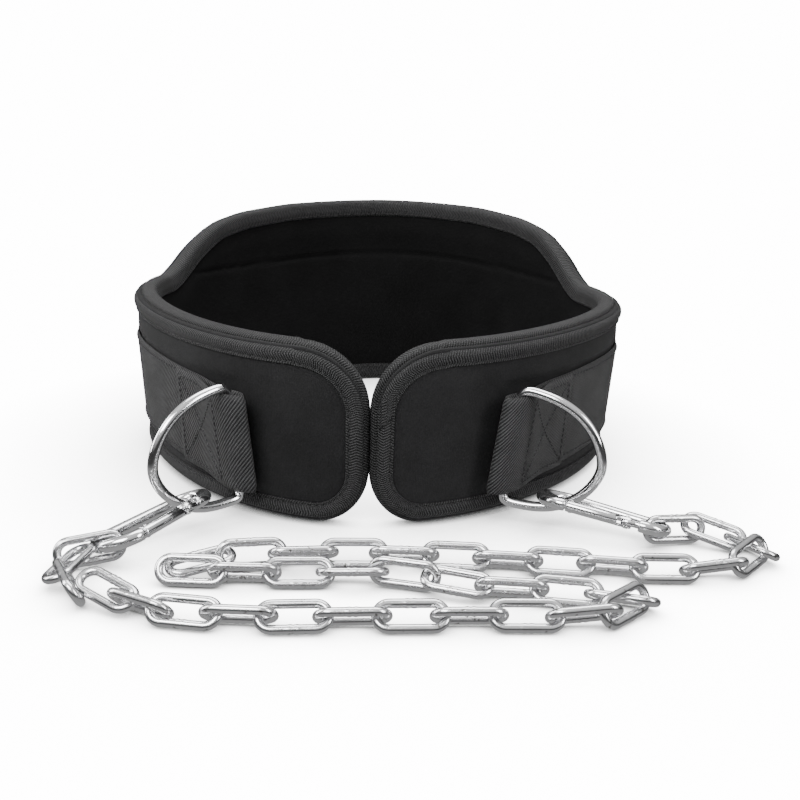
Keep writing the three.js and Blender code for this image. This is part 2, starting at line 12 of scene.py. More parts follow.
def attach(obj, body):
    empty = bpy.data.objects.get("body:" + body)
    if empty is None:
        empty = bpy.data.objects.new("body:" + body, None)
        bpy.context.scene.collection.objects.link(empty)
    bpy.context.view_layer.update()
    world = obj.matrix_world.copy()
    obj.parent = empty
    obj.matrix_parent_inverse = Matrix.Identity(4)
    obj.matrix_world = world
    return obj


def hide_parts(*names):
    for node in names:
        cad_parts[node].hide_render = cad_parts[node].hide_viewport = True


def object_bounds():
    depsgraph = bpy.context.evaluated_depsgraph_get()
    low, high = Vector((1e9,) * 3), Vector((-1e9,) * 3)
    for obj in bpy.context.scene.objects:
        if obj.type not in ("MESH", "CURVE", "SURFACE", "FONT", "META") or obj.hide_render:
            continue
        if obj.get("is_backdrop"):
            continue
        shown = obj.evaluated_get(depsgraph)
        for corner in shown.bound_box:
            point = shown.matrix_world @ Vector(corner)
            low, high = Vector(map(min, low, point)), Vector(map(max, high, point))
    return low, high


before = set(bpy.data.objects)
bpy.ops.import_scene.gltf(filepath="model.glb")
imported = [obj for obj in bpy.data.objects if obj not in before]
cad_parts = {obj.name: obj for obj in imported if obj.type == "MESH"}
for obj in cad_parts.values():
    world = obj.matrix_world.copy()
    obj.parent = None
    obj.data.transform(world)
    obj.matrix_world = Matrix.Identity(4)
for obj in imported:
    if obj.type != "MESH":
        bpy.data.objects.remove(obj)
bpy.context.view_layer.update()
SHIFT = np.array([31.5087, -58.4281, 0.0])       # middle of that box, at its foot

# Plan of the belt seen from above: half its width and half its depth, with waves on the plain oval.
HALF_WIDTH = 137.2
HALF_DEPTH = 134.3
WAVES = [
    # times round the plan, share across, share along
    (1, 1.0, 1.0),
    (2, 0.066, 0.030),
    (3, 0.026, 0.120),
]
MEETING_TURN = 4.0       # degrees round the plan, from the middle front to the belt's ends
MEETING_GAP = 1.4        # between the two ends
END_BULGE = 0.72         # how far the tape of each end reaches into that gap

# Heights and layers. Offsets are measured outwards from the groove between the two layers.
BELT_HEIGHT = 91.4
LUMBAR_HEIGHT = 126.5
LUMBAR_REACH = 190.0
LUMBAR = [
    # distance from the middle of the back as a share of the reach, share of the rise
    (0, 1),
    (0.4, 0.985),
    (0.62, 0.91),
    (0.75, 0.78),
    (0.86, 0.46),
    (0.94, 0.13),
    (1, 0),
]
END_RADIUS = 28.0        # lower corners of the two ends
TOP_RADIUS = 34.0        # and their upper corners
FOOT_INSET = 6.8         # the belt leans outwards: its foot lies this much further in
OUTER = 4.0
INNER = 6.2
GAP = 0.3                # left between pieces that touch
SOFT_GAP = 0.5           # left between the layers of the belt
TAPE = 1.2
TAPE_REACH = 11.2        # the binding covers this much of the face
PUFF = 0.9               # swelling of the outer panel
LINING_PUFF = 2.0        # and of the lining
SWELL_RUN = 13.0         # distance from the binding over which a layer swells
SEAM_HEIGHT = 89.5       # seam across the lining, below the raised back
SEAM_CLEAR = 12.0        # the raised back has to stand this far above the seam for it to show

# Webbing strap.
STRAP_WIDTH = 50.0
STRAP_THICK = 1.8
STRAP_FOOT = 18.0        # height of the strap's lower edge
FOLD_FOOT = 15.2         # and of the folds at its two ends
DIP_RUN = 90.0           # distance from a ring over which the strap dips to its fold
FOLD_RUN = 48.0          # length of the leg that is folded back and sewn down
LIFT_RUN = 34.0          # the strap leaves the belt over this length before the bar
FOLD_REACH = 2.3         # the fold's turn is drawn out to this many times its radius
STRAP_EASE = 2.6         # height over which the panel goes from pressed flat to full at the strap's edges

# Rings: a straight bar in the fold and a bow that leans out of it.
RING_WIRE = 5.0
RING_DEPTH = 50.0
RING_HEIGHT = 63.0
RING_CORNER = 3.2
RING_MIDDLE = 39.6       # height of the middle of the bar
RING_STAND_OFF = 9.6     # middle of the bar from the face of the belt
RING_DROOP = 8.0         # degrees that the bow hangs below level
RINGS = [
    # name, place round the belt, heading
    ("left_ring", -63.6, -133.6),
    ("right_ring", 68.2, -15.3),
]

# Spring hooks.
HOOK_WIRE = 6.0
HOOK_LENGTH = 66.0
HOOK_WIDE = 32.0         # outside width at the nose end
HOOK_NARROW = 24.0       # and at the hinge end
GATE_WIRE = 5.6
GATE_LENGTH = 29.0
NOSE_RUN = 2.0           # length of the nose past the large arc
NOSE_CLEAR = 0.4         # between the nose and the closed gate
RING_PLAY = 3.0          # free length between a ring and the hook's end
HOOKS = [
    # name, ring, share along the ring's bow, shift across the hook, heading, drop, lean, nose in the ring
    ("left", 0, 0.225, 0, -122.2, 7, 18, False),
    ("right", 1, 0.225, -1, -17.5, 7.5, 15, True),
]

# Chain: each link's place, heading, tip and twist. Links between two rows lie evenly between them.
LINK_COUNT = 38
LINK_WIRE = 3.9
LINK_LENGTH = 32.0
LINK_WIDTH = 14.4
ROUTE = np.array([
    # link, x, y, up, heading, tip, twist
    (1, -104.9, -212.8, 2.3, -158, -6, -29),
    (2, -109.2, -227.1, 1.7, -100, -6, -27),
    (3, -103, -244.4, 1.3, -58, -3, -15),
    (4, -85.1, -249.9, 1.6, -28, -9, -18),
    (5, -69, -257.4, 0.2, -24, 0, -2),
    (6, -50, -262.2, 0.2, -4, 0, -1),
    (8, -6.5, -260.9, 0.2, 8, 1, -1),
    (12, 85.3, -247.7, 0.2, 7, 0, 1),
    (13, 108, -245.1, 1.1, 9, 5, 2),
    (14, 125.1, -234.8, 1.2, 49, 1, 18),
    (15, 125.2, -224.3, -0.8, 170, 0, 74),
    (16, 102.6, -222.6, -0.1, 180, 2, 96),
    (17, 79.5, -222.6, 0.4, 180, 0, 95),
    (18, 56.5, -220.9, 0.7, 171, 3, 111),
    (19, 33.9, -217.8, 1.7, 173, 1, 133),
    (20, 11.5, -216.8, 0.6, 184, -2, 159),
    (21, -11.3, -219.6, 0.2, 188, 0, 178),
    (22, -34.1, -222.9, 0.5, 187, 1, 185),
    (23, -56.5, -224.9, 0.8, 183, 0, 169),
    (24, -55.1, -214.6, 0.4, 33, 5, 145),
    (25, -34.5, -206.3, 1.5, 15, 0, 120),
    (26, -12.4, -200.5, 0.9, 14, -1, 99),
    (28, 32, -194, 0.2, 3, 0, 93),
    (32, 124.1, -193.2, 0.2, -2, 0, 89),
    (33, 147.2, -192.5, -0.2, 6, 0, 86),
    (34, 169.1, -188.6, 0.4, 13, 5, 99),
    (35, 186.8, -176.5, 1.4, 53, 4, 103),
    (36, 191.3, -160.8, -0.7, 120, -4, 161),
    (37, 175.8, -149.5, 1.4, 159, 11, 192),
    (38, 157.1, -150.7, 1.9, 197, 2, 230),
])


# Geometry of the belt, which the pieces on it share.
def plan(turn):
    x = sum(HALF_WIDTH * a * np.sin(w * turn) for w, a, b in WAVES)
    y = -sum(HALF_DEPTH * b * np.cos(w * turn) for w, a, b in WAVES)
    return x, y


turns = math.radians(MEETING_TURN) + np.linspace(0, 2 * math.pi, 4001)
plan_x, plan_y = plan(turns)
lengths = np.concatenate([[0], np.cumsum(np.hypot(np.diff(plan_x), np.diff(plan_y)))])
ROUND = float(lengths[-1])


def belt(place, offset, height):
    """Points of the belt in millimetres, for arrays of the length round it, the offset and the height."""
    place, offset, height = np.broadcast_arrays(*(np.asarray(v, float) for v in (place, offset, height)))
    turn = np.interp(np.mod(place, ROUND), lengths, turns)
    x, y = plan(turn)
    ax, ay = plan(turn + 0.002)
    bx, by = plan(turn - 0.002)
    dx, dy = ax - bx, ay - by
    size = np.hypot(dx, dy)
    out = offset - FOOT_INSET * (1 - np.minimum(height, BELT_HEIGHT) / BELT_HEIGHT)
    return np.stack([x + dy / size * out, y - dx / size * out, height], -1)


def outwards(place):
    v = belt(place, 1, 0) - belt(place, 0, 0)
    return v / np.linalg.norm(v)


def top_height(place):
    away = np.abs(np.asarray(place, float) - ROUND / 2) / LUMBAR_REACH
    away = np.clip(away, 0, 1)
    table_away = [row[0] for row in LUMBAR]
    table_rise = [row[1] for row in LUMBAR]
    rise = np.interp(away, table_away, table_rise)
    nearby = [np.clip(away + d, 0, 1) for d in (-0.03, -0.015, 0.015, 0.03)]
    soft = sum(np.interp(at, table_away, table_rise) for at in nearby)
    return BELT_HEIGHT + (LUMBAR_HEIGHT - BELT_HEIGHT) * (rise + soft) / 5


def ease(u):
    u = np.clip(u, 0, 1)
    return u * u * (3 - 2 * u)


# Mesh building.
def grid(name, rows, us, vs, close_rows=False, close_cols=True):
    """A skin over rows of points in millimetres, with UVs in metres along and across it."""
    rows = np.asarray(rows, float)
    n, m = rows.shape[:2]
    mesh = bpy.data.meshes.new(name)
    points = ((rows.reshape(-1, 3) - SHIFT) * 0.001).tolist()
    faces, uvs = [], []
    for i in range(n if close_rows else n - 1):
        for j in range(m if close_cols else m - 1):
            k = (j + 1) % m
            i2 = (i + 1) % n
            faces.append((i * m + j, i * m + k, i2 * m + k, i2 * m + j))
            uvs += [(us[i], vs[j]), (us[i], vs[j + 1]), (us[i + 1], vs[j + 1]), (us[i + 1], vs[j])]
    if close_cols and not close_rows:
        for first, order in ((0, range(m)), ((n - 1) * m, reversed(range(m)))):
            faces.append(tuple(first + j for j in order))
            uvs += [(0, 0)] * m
    mesh.from_pydata(points, [], faces)
    layer = mesh.uv_layers.new(name="UVMap")
    layer.data.foreach_set("uv", (np.array(uvs) * 0.001).ravel())
    return finish_mesh(name, mesh)


def finish_mesh(name, mesh):
    work = bmesh.new()
    work.from_mesh(mesh)
    bmesh.ops.recalc_face_normals(work, faces=work.faces)
    work.to_mesh(mesh)
    work.free()
    mesh.polygons.foreach_set("use_smooth", [True] * len(mesh.polygons))
    piece = bpy.data.objects.new(name, mesh)
    bpy.context.collection.objects.link(piece)
    return piece


def run_lengths(points, closed=False):
    points = np.asarray(points, float)
    if closed:
        points = np.vstack([points, points[:1]])
    return np.concatenate([[0], np.cumsum(np.linalg.norm(np.diff(points, axis=0), axis=1))])


def smooth_line(points, per, closed=False):
    """A smooth line through points, with some steps for each stretch."""
    points = [np.asarray(p, float) for p in points]
    n = len(points)
    out = []
    for i in range(n if closed else n - 1):
        p = [points[(i + k) % n] if closed else points[min(max(i + k, 0), n - 1)] for k in (-1, 0, 1, 2)]
        for t in np.arange(per) / per:
            out.append(0.5 * (2 * p[1] + (p[2] - p[0]) * t + (2 * p[0] - 5 * p[1] + 4 * p[2] - p[3]) * t * t
                              + (3 * p[1] - p[0] - 3 * p[2] + p[3]) * t ** 3))
    if not closed:
        out.append(points[-1])
    return np.array(out)


def soften(points, step, spread):
    """A closed path with even steps and its sharp turns rounded off."""
    points = np.asarray(points, float)
    far = run_lengths(points, True)
    count = int(far[-1] / step)
    points = np.vstack([points, points[:1]])
    at = np.arange(count) / count * far[-1]
    even = np.stack([np.interp(at, far, points[:, k]) for k in range(3)], -1)
    reach = int(3 * spread / step)
    weights = np.exp(-0.5 * (np.arange(-reach, reach + 1) * step / spread) ** 2)
    return sum(w * np.roll(even, k, 0) for k, w in zip(range(-reach, reach + 1), weights / weights.sum()))


def wire_rows(path, normal, radius, sides, closed):
    """Rings of points round a flat path. The radius is one number or one for each point."""
    path = np.asarray(path, float)
    radius = np.broadcast_to(np.asarray(radius, float), (len(path),))
    if closed:
        run = np.roll(path, -1, 0) - np.roll(path, 1, 0)
    else:
        run = np.gradient(path, axis=0)
    run /= np.linalg.norm(run, axis=1)[:, None]
    out = np.cross(run, normal)
    out /= np.linalg.norm(out, axis=1)[:, None]
    turn = np.arange(sides) / sides * 2 * math.pi
    ring = np.cos(turn)[None, :, None] * out[:, None] + np.sin(turn)[None, :, None] * np.asarray(normal)
    return path[:, None] + ring * radius[:, None, None]


def wire(name, path, normal, radius, sides):
    """A closed wire along a flat path."""
    rows = wire_rows(path, normal, radius, sides, True)
    around = np.arange(sides + 1) / sides * 2 * math.pi * float(np.max(radius))
    return grid(name, rows, run_lengths(path, True), around, True)


def join(name, pieces):
    mesh = bmesh.new()
    for piece in pieces:
        mesh.from_mesh(piece.data)
        old = piece.data
        bpy.data.objects.remove(piece)
        bpy.data.meshes.remove(old)
    result = bpy.data.meshes.new(name)
    mesh.to_mesh(result)
    mesh.free()
    result.polygons.foreach_set("use_smooth", [True] * len(result.polygons))
    piece = bpy.data.objects.new(name, result)
    bpy.context.collection.objects.link(piece)
    return piece


def settle(piece, body, node, surface):
    """Gives a piece its surface and its body, and hides the solid that it stands for, if it has one."""
    piece.data.materials.clear()
    piece.data.materials.append(surface)
    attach(piece, body)
    if node:
        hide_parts(node)
    return piece


# Materials. Every surface has its own pattern in UV metres or in object space.
class Nodes:
    def __init__(self, name):
        self.material = bpy.data.materials.new(name)
        self.material.use_nodes = True
        self.tree = self.material.node_tree
        self.shader = self.tree.nodes["Principled BSDF"]

    def add(self, kind, values=None, **settings):
        node = self.tree.nodes.new(kind)
        for key, value in settings.items():
            setattr(node, key, value)
        for key, value in (values or {}).items():
            if isinstance(value, bpy.types.NodeSocket):
                self.tree.links.new(value, node.inputs[key])
            else:
                node.inputs[key].default_value = value
        return node

    def math(self, operation, a, b=0.5):
        return self.add("ShaderNodeMath", {0: a, 1: b}, operation=operation).outputs[0]

    def link(self, socket, name):
        self.tree.links.new(socket, self.shader.inputs[name])

    def ramp(self, value, stops):
        node = self.add("ShaderNodeValToRGB", {0: value})
        ramp = node.color_ramp
        while len(ramp.elements) < len(stops):
            ramp.elements.new(0.5)
        for element, (place, color) in zip(ramp.elements, stops):
            element.position = place
            element.color = (*color, 1)
        return node.outputs[0]

    def bump(self, height, strength, distance, under=None):
        values = {"Height": height, "Strength": strength, "Distance": distance}
        if under is not None:
            values["Normal"] = under
        return self.add("ShaderNodeBump", values).outputs[0]

    def uv(self):
        return self.add("ShaderNodeSeparateXYZ", {0: self.add("ShaderNodeUVMap").outputs[0]}).outputs

    def wave(self, value, pitch):
        """A smooth wave from 0 to 1 with this pitch in metres."""
        turned = self.math("MULTIPLY", value, 2 * math.pi / pitch)
        return self.half(self.math("SINE", turned))

    def half(self, value):
        node = self.add("ShaderNodeMath", {0: value, 1: 0.5, 2: 0.5}, operation="MULTIPLY_ADD")
        return node.outputs[0]

    def noise(self, scale, detail=3.0, rough=0.55):
        place = self.add("ShaderNodeTexCoord").outputs["Object"]
        values = {"Scale": scale, "Detail": detail, "Roughness": rough, "Vector": place}
        return self.add("ShaderNodeTexNoise", values).outputs[0]


def cloth_material(name, dark, light, pitch, sheen, gloss):
    n = Nodes(name)
    u, v = n.uv()[:2]
    weave = n.math("MULTIPLY", n.wave(u, pitch), n.wave(v, pitch))
    grain = n.noise(1400, 2)
    patches = n.noise(38, 4)
    mix = n.math("ADD", n.math("MULTIPLY", grain, 0.5), n.math("MULTIPLY", patches, 0.5))
    n.link(n.ramp(mix, [(0.3, dark), (0.7, light)]), "Base Color")
    fine = n.bump(weave, 0.5, 0.00015)
    rough = n.bump(grain, 0.45, 0.0002, fine)
    n.link(n.bump(n.noise(55, 3), 0.35, 0.0008, rough), "Normal")
    n.shader.inputs["Roughness"].default_value = 0.82
    n.shader.inputs["Specular IOR Level"].default_value = gloss
    n.shader.inputs["Sheen Weight"].default_value = sheen
    n.shader.inputs["Sheen Roughness"].default_value = 0.5
    return n.material


def tape_material():
    n = Nodes("tape")
    u, v = n.uv()[:2]
    zigzag = n.math("PINGPONG", v, 0.0032)
    slant = n.math("ADD", u, n.math("MULTIPLY", zigzag, 0.45))
    rib = n.wave(slant, 0.0014)
    thread = n.wave(v, 0.0009)
    both = n.math("MULTIPLY", n.math("POWER", rib, 1.6), n.half(thread))
    patches = n.noise(60, 3)
    shade = n.math("ADD", n.math("MULTIPLY", both, 0.8), n.math("MULTIPLY", patches, 0.2))
    n.link(n.ramp(shade, [(0.12, (0.0006, 0.0006, 0.0007)), (0.62, (0.040, 0.040, 0.041))]), "Base Color")
    n.link(n.bump(both, 1.0, 0.0006), "Normal")
    n.shader.inputs["Roughness"].default_value = 0.6
    n.shader.inputs["Specular IOR Level"].default_value = 0.3
    n.shader.inputs["Sheen Weight"].default_value = 0.02
    return n.material


def webbing_material():
    n = Nodes("webbing")
    u, v = n.uv()[:2]
    slant = n.math("SUBTRACT", n.math("MULTIPLY", u, 0.8), n.math("MULTIPLY", v, 0.6))
    rib = n.wave(slant, 0.0013)
    thread = n.wave(n.math("ADD", u, v), 0.0014)
    both = n.math("MULTIPLY", n.math("POWER", rib, 1.6), n.half(thread))
    patches = n.noise(70, 3)
    shade = n.math("ADD", n.math("MULTIPLY", both, 0.75), n.math("MULTIPLY", patches, 0.25))
    n.link(n.ramp(shade, [(0.12, (0.0006, 0.0006, 0.0007)), (0.62, (0.052, 0.052, 0.053))]), "Base Color")
    n.link(n.bump(both, 0.85, 0.0005), "Normal")
    n.shader.inputs["Roughness"].default_value = 0.62
    n.shader.inputs["Sheen Weight"].default_value = 0.02
    n.shader.inputs["Specular IOR Level"].default_value = 0.35
    return n.material


def thread_material():
    n = Nodes("thread")
    fuzz = n.noise(900, 2)
    n.link(n.ramp(fuzz, [(0.3, (0.004, 0.004, 0.004)), (0.7, (0.016, 0.016, 0.017))]), "Base Color")
    n.shader.inputs["Roughness"].default_value = 0.6
    return n.material


def steel_material(name, tint, rough, specks):
    """Bare steel, a little cloudy and scratched. Specks is the level of noise above which it is dark."""
    n = Nodes(name)
    cloud = n.noise(90, 4)
    scratch = n.noise(700, 6, 0.7)
    color = n.ramp(cloud, [(0.3, tuple(c * 0.90 for c in tint)), (0.7, tint)])
    dots = n.ramp(n.noise(420, 2), [(specks, (1, 1, 1)), (specks + 0.03, (0.45, 0.44, 0.42))])
    both = {"Factor": 1.0, 6: color, 7: dots}
    mixed = n.add("ShaderNodeMix", both, data_type="RGBA", blend_type="MULTIPLY")
    n.link(mixed.outputs[2], "Base Color")
    low = n.add("ShaderNodeMapRange", {0: scratch, 3: rough * 0.7, 4: rough * 1.6})
    n.link(low.outputs[0], "Roughness")
    n.link(n.bump(scratch, 0.10, 0.0002, n.bump(cloud, 0.15, 0.0006)), "Normal")
    n.shader.inputs["Metallic"].default_value = 1
    return n.material


cloth = cloth_material("outer_cloth", (0.0045, 0.0045, 0.0047), (0.0125, 0.0125, 0.0130), 0.0009, 0.03, 0.16)
lining = cloth_material("lining_cloth", (0.0022, 0.0022, 0.0022), (0.0050, 0.0050, 0.0051), 0.0010, 0.0, 0.08)
tape = tape_material()
webbing = webbing_material()
thread = thread_material()
plated = steel_material("plated_steel", (0.82, 0.82, 0.83), 0.11, 0.76)
zinc = steel_material("chain_steel", (0.74, 0.74, 0.75), 0.20, 0.66)


# Padded layers.
def stations(first, radius, fine):
    """Places round the belt, closer together in the rounded ends."""
    corner = first + radius * (1 - np.cos(np.linspace(0, math.pi / 2, 22)))
    middle = np.linspace(first + radius, ROUND - first - radius, fine)[1:-1]
    return np.concatenate([corner, middle, (ROUND - corner)[::-1]])


def pressed(place, z):
    """How much the strap presses the panel flat: 1 under it and 0 away from it."""
    inside = min(place - RINGS[1][1], ROUND + RINGS[0][1] - place)
    above = ease((z - STRAP_FOOT + 3) / STRAP_EASE)
    below = ease((STRAP_FOOT + STRAP_WIDTH + STRAP_EASE - z) / STRAP_EASE)
    return ease((inside + 3) / 8) * above * below


def lining_rise(place, z, swell):
    """What the seam's groove and the flatter part above it add to the lining's offset."""
    back_rise = top_height(place) - SEAM_HEIGHT - SEAM_CLEAR
    seam = np.exp(-((z - SEAM_HEIGHT) / 1.1) ** 2) * ease(back_rise / 6)
    above = ease((z - SEAM_HEIGHT) / 4) * (1 - swell * 0.3)
    return (2.2 * seam + 0.8 * above * (back_rise > 0)) * swell


def layer(name, face, back, fine=420, columns=72):
    """One padded layer. Its face swells between the binding, the strap and the seam."""
    trim = TAPE + 3 * SOFT_GAP
    first = MEETING_GAP / 2 + trim
    radii = (END_RADIUS - trim, TOP_RADIUS - trim)
    places = stations(first, max(radii), fine)
    share = 0.5 - 0.5 * np.cos(np.linspace(0, math.pi, columns))
    rows = []
    for s in places:
        into = min(s - first, ROUND - first - s)
        cuts = [r - math.sqrt(max(r * r - max(r - into, 0) ** 2, 0)) for r in radii]
        low = trim + cuts[0]
        high = float(top_height(s)) - trim - cuts[1]
        z = low + (high - low) * (0.35 * share + 0.65 * np.linspace(0, 1, columns))
        edge = np.minimum(np.minimum(z - low, high - z) + trim, into + trim)
        swell = ease((edge - TAPE_REACH + 1.5) / SWELL_RUN)
        if face > back:
            offset = face + PUFF * swell * (1 - pressed(s, z))
        else:
            offset = face - LINING_PUFF * swell + lining_rise(s, z, swell)
        rim = ease(edge / 3.0 - 0.3)
        offset = back + (offset - back) * (0.75 + 0.25 * rim)
        front = belt(s, offset, z)
        rear = belt(s, back, np.linspace(high, low, 5))
        rows.append(np.vstack([front, rear]))
    around = run_lengths(rows[len(rows) // 3], True)
    return grid(name, rows, places, around)


outer = settle(layer("outer_cloth_panel", OUTER, SOFT_GAP / 2), "belt", "outer_panel", cloth)
inner = settle(layer("inner_lining_pad", -INNER, -SOFT_GAP / 2), "belt", "inner_pad", lining)


# Binding tape: the whole edge, with a ridge on each layer.
def edge_path(corner_steps, straight):
    """The belt's edge, as rows of place, height and the direction in from the edge."""
    first = MEETING_GAP / 2
    path = []

    def corner(side, high, start):
        radius = TOP_RADIUS if high else END_RADIUS
        if side > 0:
            place = first + radius - END_BULGE
        else:
            place = ROUND - first - radius + END_BULGE
        z = BELT_HEIGHT - radius if high else radius
        for turn in np.radians(start + np.linspace(0, 90, corner_steps)):
            c, s = math.cos(turn), math.sin(turn)
            path.append((place + c * radius, z + s * radius, -c, -s))

    along = np.linspace(first + END_RADIUS, ROUND - first - END_RADIUS, straight)[1:-1]
    corner(1, True, 90)
    corner(1, False, 180)
    path.extend((s, 0, 0, 1) for s in along)
    corner(-1, False, 270)
    corner(-1, True, 0)
    for s in np.linspace(first + TOP_RADIUS, ROUND - first - TOP_RADIUS, straight)[-2:0:-1]:
        slope = float(top_height(s + 1) - top_height(s - 1)) / 2
        size = math.hypot(1, slope)
        path.append((s, float(top_height(s)), slope / size, -1 / size))
    return np.array(path)


EDGE = edge_path(20, 420)

# Section of the tape: distance in from the edge, and offset. It goes over the outer layer, then over the
# lining, and back through the belt.
OUT_RIDGE = [
    (11.4, 4.0), (11.2, 4.9), (10.6, 5.1), (10.0, 4.7), (9.3, 5.15),
    (7.6, 5.75), (5.6, 5.65), (4.1, 4.8), (3.3, 3.4), (3.4, 1.9),
]
IN_RIDGE = [
    (2.9, 1.2), (1.6, 0.9), (0.5, -0.1), (0.0, -2.2), (0.05, -4.6), (0.9, -6.7),
    (2.6, -7.8), (5.2, -8.1), (8.0, -7.9), (10.2, -7.3), (10.9, -6.3),
]
UNDER_FACES = [(9.0, -6.0), (2.9, -5.9), (4.2, 0.9), (9.0, 3.9)]
profile = np.vstack([smooth_line(OUT_RIDGE, 3), smooth_line(IN_RIDGE, 3), UNDER_FACES])
rows = [belt(s + a * profile[:, 0], profile[:, 1], z + b * profile[:, 0]) for s, z, a, b in EDGE]
middle_line = np.array([belt(s, 3, z) for s, z, a, b in EDGE]).reshape(-1, 3)
binding = grid("binding_tape", rows, run_lengths(middle_line, True), run_lengths(profile, True), True)
settle(binding, "belt", "edge_binding", tape)

# The tape's own end lies over its beginning, cut at a slant.
END_LIFT = 0.55
END_THICK = 0.7
END_SLANT = 1.1
over = smooth_line([(d, o + END_LIFT) for d, o in OUT_RIDGE[1:-2]], 3)
rows = []
for z in np.linspace(63, 50, 14):
    place = MEETING_GAP / 2 - END_BULGE + over[:, 0]
    slanted = z + (over[:, 0] - 3) * END_SLANT
    outside = belt(place, over[:, 1], slanted)
    inside = belt(place, over[:, 1] - END_THICK, slanted)
    rows.append(np.vstack([outside, inside[::-1]]))
rows = np.array(rows)
flap = grid("binding_tape_end", rows, run_lengths(rows[:, 5]), run_lengths(rows[5], True))
settle(flap, "belt", None, tape)


# Stitches: short rounded threads along a line of places and normals.
STITCH_SIDES = 6
STITCH_SHAPE = [
    # share of the length, share of the radius, height in thicknesses
    (-0.5, 0.35, -0.25),
    (-0.4, 0.85, 0.0),
    (0, 1.0, 0.18),
    (0.4, 0.85, 0.0),
    (0.5, 0.35, -0.25),
]


def read_line(at, far, values):
    return np.stack([np.interp(at, far, values[:, k]) for k in range(3)], -1)


def stitches(name, points, normals, long, pitch, thick, lift=0.15):
    points = np.asarray(points, float)
    normals = np.asarray(normals, float)
    far = run_lengths(points)
    count = int(far[-1] / pitch)
    starts = (np.arange(count) + 0.5) * far[-1] / max(count, 1)
    firsts = read_line(starts - long / 2, far, points)
    lasts = read_line(starts + long / 2, far, points)
    middles = read_line(starts, far, points)
    ups = read_line(starts, far, normals)
    turn = np.arange(STITCH_SIDES) / STITCH_SIDES * 2 * math.pi
    verts = []
    faces = []
    for first, last, middle, up in zip(firsts, lasts, middles, ups):
        run = last - first
        run /= max(np.linalg.norm(run), 1e-6)
        up = up / np.linalg.norm(up)
        side = np.cross(run, up)
        base = len(verts)
        for along, width, height in STITCH_SHAPE:
            centre = middle + run * along * long + up * (lift + height * thick)
            ring = (np.cos(turn)[:, None] * side + np.sin(turn)[:, None] * up) * thick / 2 * width
            verts.extend(((centre + ring - SHIFT) * 0.001).tolist())
        for i in range(len(STITCH_SHAPE) - 1):
            here = base + i * STITCH_SIDES
            there = here + STITCH_SIDES
            for j in range(STITCH_SIDES):
                k = (j + 1) % STITCH_SIDES
                faces.append((here + j, here + k, there + k, there + j))
        faces.append(tuple(base + j for j in reversed(range(STITCH_SIDES))))
        faces.append(tuple(there + j for j in range(STITCH_SIDES)))
    mesh = bpy.data.meshes.new(name)
    mesh.from_pydata(verts, [], faces)
    return finish_mesh(name, mesh)


def edge_line(deep, offset):
    closed = np.vstack([EDGE, EDGE[:1]])
    points = np.array([belt(s + a * deep, offset, z + b * deep) for s, z, a, b in closed])
    behind = np.array([belt(s + a * deep, offset - 1, z + b * deep) for s, z, a, b in closed])
    return points, points - behind


line, normal = edge_line(10.0, 4.6)
settle(stitches("binding_stitches_out", line, normal, 2.6, 3.4, 0.6), "belt", None, thread)
line, normal = edge_line(9.4, -7.45)
settle(stitches("binding_stitches_in", line, -normal, 2.6, 3.4, 0.6), "belt", None, thread)


# Rings.
BOW_AHEAD = 0.72         # powers that shape the bow, where 1 and 1 give half an ellipse
BOW_RISE = 1.22


def ring_frame(place, heading):
    turn = math.radians(heading)
    droop = math.radians(RING_DROOP)
    flat = np.array([math.cos(turn), math.sin(turn), 0])
    up = np.array([0, 0, 1.0])
    return {
        "round": place,
        "bar": belt(place, OUTER + RING_STAND_OFF, RING_MIDDLE),
        "ahead": flat * math.cos(droop) - up * math.sin(droop),
        "up": flat * math.sin(droop) + up * math.cos(droop),
    }


def bow(share):
    turn = (share - 0.5) * math.pi
    ahead = (RING_DEPTH - RING_WIRE) * abs(math.cos(turn)) ** BOW_AHEAD
    rise = (RING_HEIGHT - RING_WIRE) / 2 * math.copysign(abs(math.sin(turn)) ** BOW_RISE, turn)
    return ahead, rise


def on_ring(ring, ahead, up):
    return ring["bar"] + ring["ahead"] * ahead + ring["up"] * up


ring_frames = [ring_frame(place, heading) for name, place, heading in RINGS]
for (name, place, heading), ring in zip(RINGS, ring_frames):
    half = (RING_HEIGHT - RING_WIRE) / 2
    arc = [(RING_CORNER * (1 - math.sin(t)), half - RING_CORNER * (1 - math.cos(t)))
           for t in np.linspace(0, math.pi / 2, 7)]
    points = arc + [(0, half * 0.5), (0, 0), (0, -half * 0.5)] + [(a, -u) for a, u in reversed(arc)]
    arms = [bow(share) for share in np.linspace(0, 1, 72)]
    points += [p for p in arms if p[0] > RING_CORNER * 1.25]
    path = soften([on_ring(ring, a, u) for a, u in points], 1.0, 2.2)
    normal = np.cross(ring["ahead"], ring["up"])
    settle(wire(name + "_wire", path, normal, RING_WIRE / 2, 20), "belt", name, plated)


# Strap with its folds.
FACE = OUTER + GAP + STRAP_THICK / 2                     # middle of the strap's thickness, on the belt
BEND = RING_WIRE / 2 + SOFT_GAP + STRAP_THICK / 2        # and round the bar of a ring
STRAP_SHARES = np.linspace(0, 1, 15)


def strap_foot(away):
    return STRAP_FOOT + (FOLD_FOOT - STRAP_FOOT) * float(ease(1 - away / DIP_RUN))


